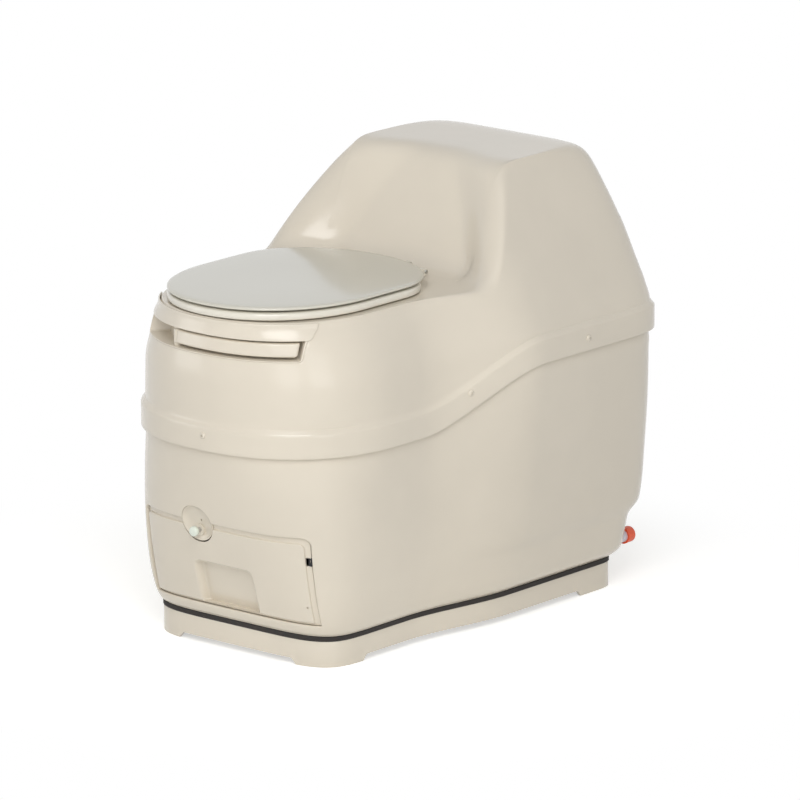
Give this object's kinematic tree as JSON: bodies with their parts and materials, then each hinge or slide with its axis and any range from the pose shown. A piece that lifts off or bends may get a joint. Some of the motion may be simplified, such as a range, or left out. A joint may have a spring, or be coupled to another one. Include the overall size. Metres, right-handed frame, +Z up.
{
  "type": "composting toilet",
  "caption": "Self-contained composting toilet with a seat and lid over a cranked drum, a pull-out tray, a vent outlet with a fan and an evaporating base.",
  "frame": {"origin": "centre of the footprint at the underside of the base", "axes": "+Z up, front of the bowl towards -Y, +X to the right as seen from the front"},
  "size_m": [0.565, 0.8139, 0.704],
  "materials": {
    "shell_plastic": "glossy moulded cream plastic",
    "seat_plastic": "glossy moulded cream plastic",
    "lid_plastic": "glossy moulded greyish cream plastic",
    "tray_plastic": "satin moulded cream plastic",
    "drum_plastic": "satin moulded plastic",
    "gear_plastic": "satin moulded nylon",
    "knob_plastic": "glossy pale plastic",
    "black_plastic": "satin black plastic",
    "rubber": "soft dark foam rubber",
    "grey_rubber": "soft grey rubber",
    "cap_plastic": "soft moulded orange red plastic",
    "stub_plastic": "glossy white plastic pipe",
    "stainless": "brushed stainless steel",
    "painted_steel": "grey powder coat",
    "galvanised": "dull zinc sheet",
    "bronze": "sintered bronze"
  },
  "bodies": {
    "frame": {"base_tray": "shell_plastic", "base_gasket": "rubber", "heater_plate": "galvanised", "heater_element": "stainless", "thermostat": "black_plastic", "base_cover": "galvanised", "lower_shell": "shell_plastic", "upper_shell": "shell_plastic", "shell_screws": "shell_plastic", "handle_housing": "shell_plastic", "handle_bracket": "tray_plastic", "handle_pin": "stainless", "drive_bush": "bronze", "bowl_liner": "seat_plastic", "front_bearing": "bronze", "rear_frame": "painted_steel", "rear_bearing": "bronze", "lock_dish": "shell_plastic", "drawer_runners": "galvanised", "drain_stub": "stub_plastic", "drain_nut": "stub_plastic", "vent_collar": "shell_plastic", "fan_housing": "black_plastic", "fan_motor": "black_plastic", "cord_gland": "black_plastic", "hinge_posts": "seat_plastic", "hinge_pins": "stainless", "hinge_nuts": "black_plastic", "lock_spring": "stainless"},
    "drawer": {"drawer_front": "shell_plastic", "drawer_tray": "tray_plastic", "drawer_screws": "stainless", "drawer_latch": "black_plastic"},
    "drum": {"drum_front": "drum_plastic", "drum_rear": "drum_plastic", "drum_gear": "gear_plastic", "drum_axle_front": "stainless", "drum_axle_rear": "stainless", "drum_screen": "stainless", "drum_screws": "stainless", "drum_door_pin": "stainless"},
    "inlet_door": {"drum_door": "stainless"},
    "drive": {"drive_shaft": "stainless", "drive_pinion": "gear_plastic"},
    "handle": {"drum_handle": "shell_plastic"},
    "lock": {"lock_knob": "knob_plastic", "lock_rod": "stainless"},
    "seat": {"seat_ring": "seat_plastic", "seat_bumpers": "grey_rubber"},
    "lid": {"seat_lid": "lid_plastic", "lid_bumpers": "grey_rubber"},
    "fan": {"fan_rotor": "black_plastic"},
    "cap": {"drain_cap": "cap_plastic"}
  },
  "joints": [
    {"name": "seat_hinge", "type": "hinge", "parent": "frame", "child": "seat", "pos_m": [0, 0.017, 0.5475], "axis": [1, 0, 0], "range_deg": [-100, 0]},
    {"name": "lid_hinge", "type": "hinge", "parent": "seat", "child": "lid", "pos_m": [0, 0.017, 0.5475], "axis": [-1, 0, 0], "range_deg": [0, 104]},
    {"name": "drawer_slide", "type": "slide", "parent": "frame", "child": "drawer", "axis": [0, -1, 0], "range_m": [0, 0.32]},
    {"name": "drum_spin", "type": "hinge", "parent": "frame", "child": "drum", "pos_m": [0, 0, 0.346], "axis": [0, 1, 0], "continuous": true},
    {"name": "drive_spin", "type": "hinge", "parent": "frame", "child": "drive", "pos_m": [-0.06, 0, 0.49863], "axis": [0, 1, 0], "continuous": true},
    {"name": "inlet_door_hinge", "type": "hinge", "parent": "drum", "child": "inlet_door", "pos_m": [-0.06464, 0, 0.4686], "axis": [0, -1, 0], "range_deg": [0, 102]},
    {"name": "handle_fold", "type": "hinge", "parent": "frame", "child": "handle", "pos_m": [-0.0581, -0.37889, 0.498], "axis": [0, 0, -1], "range_deg": [0, 95]},
    {"name": "lock_pull", "type": "slide", "parent": "frame", "child": "lock", "axis": [0, -1, 0], "range_m": [0, 0.012], "stiffness_N_per_m": 300, "springref_m": -0.004, "deforming": ["lock_spring"]},
    {"name": "fan_spin", "type": "hinge", "parent": "frame", "child": "fan", "pos_m": [0, 0, 0.6], "axis": [0, 1, 0], "continuous": true},
    {"name": "drain_cap_pull", "type": "slide", "parent": "frame", "child": "cap", "axis": [0, 1, 0], "range_m": [0, 0.03]}
  ],
  "couplings": [
    {"joint": "drive_spin", "follows": "drum_spin", "ratio": -7.2}
  ]
}
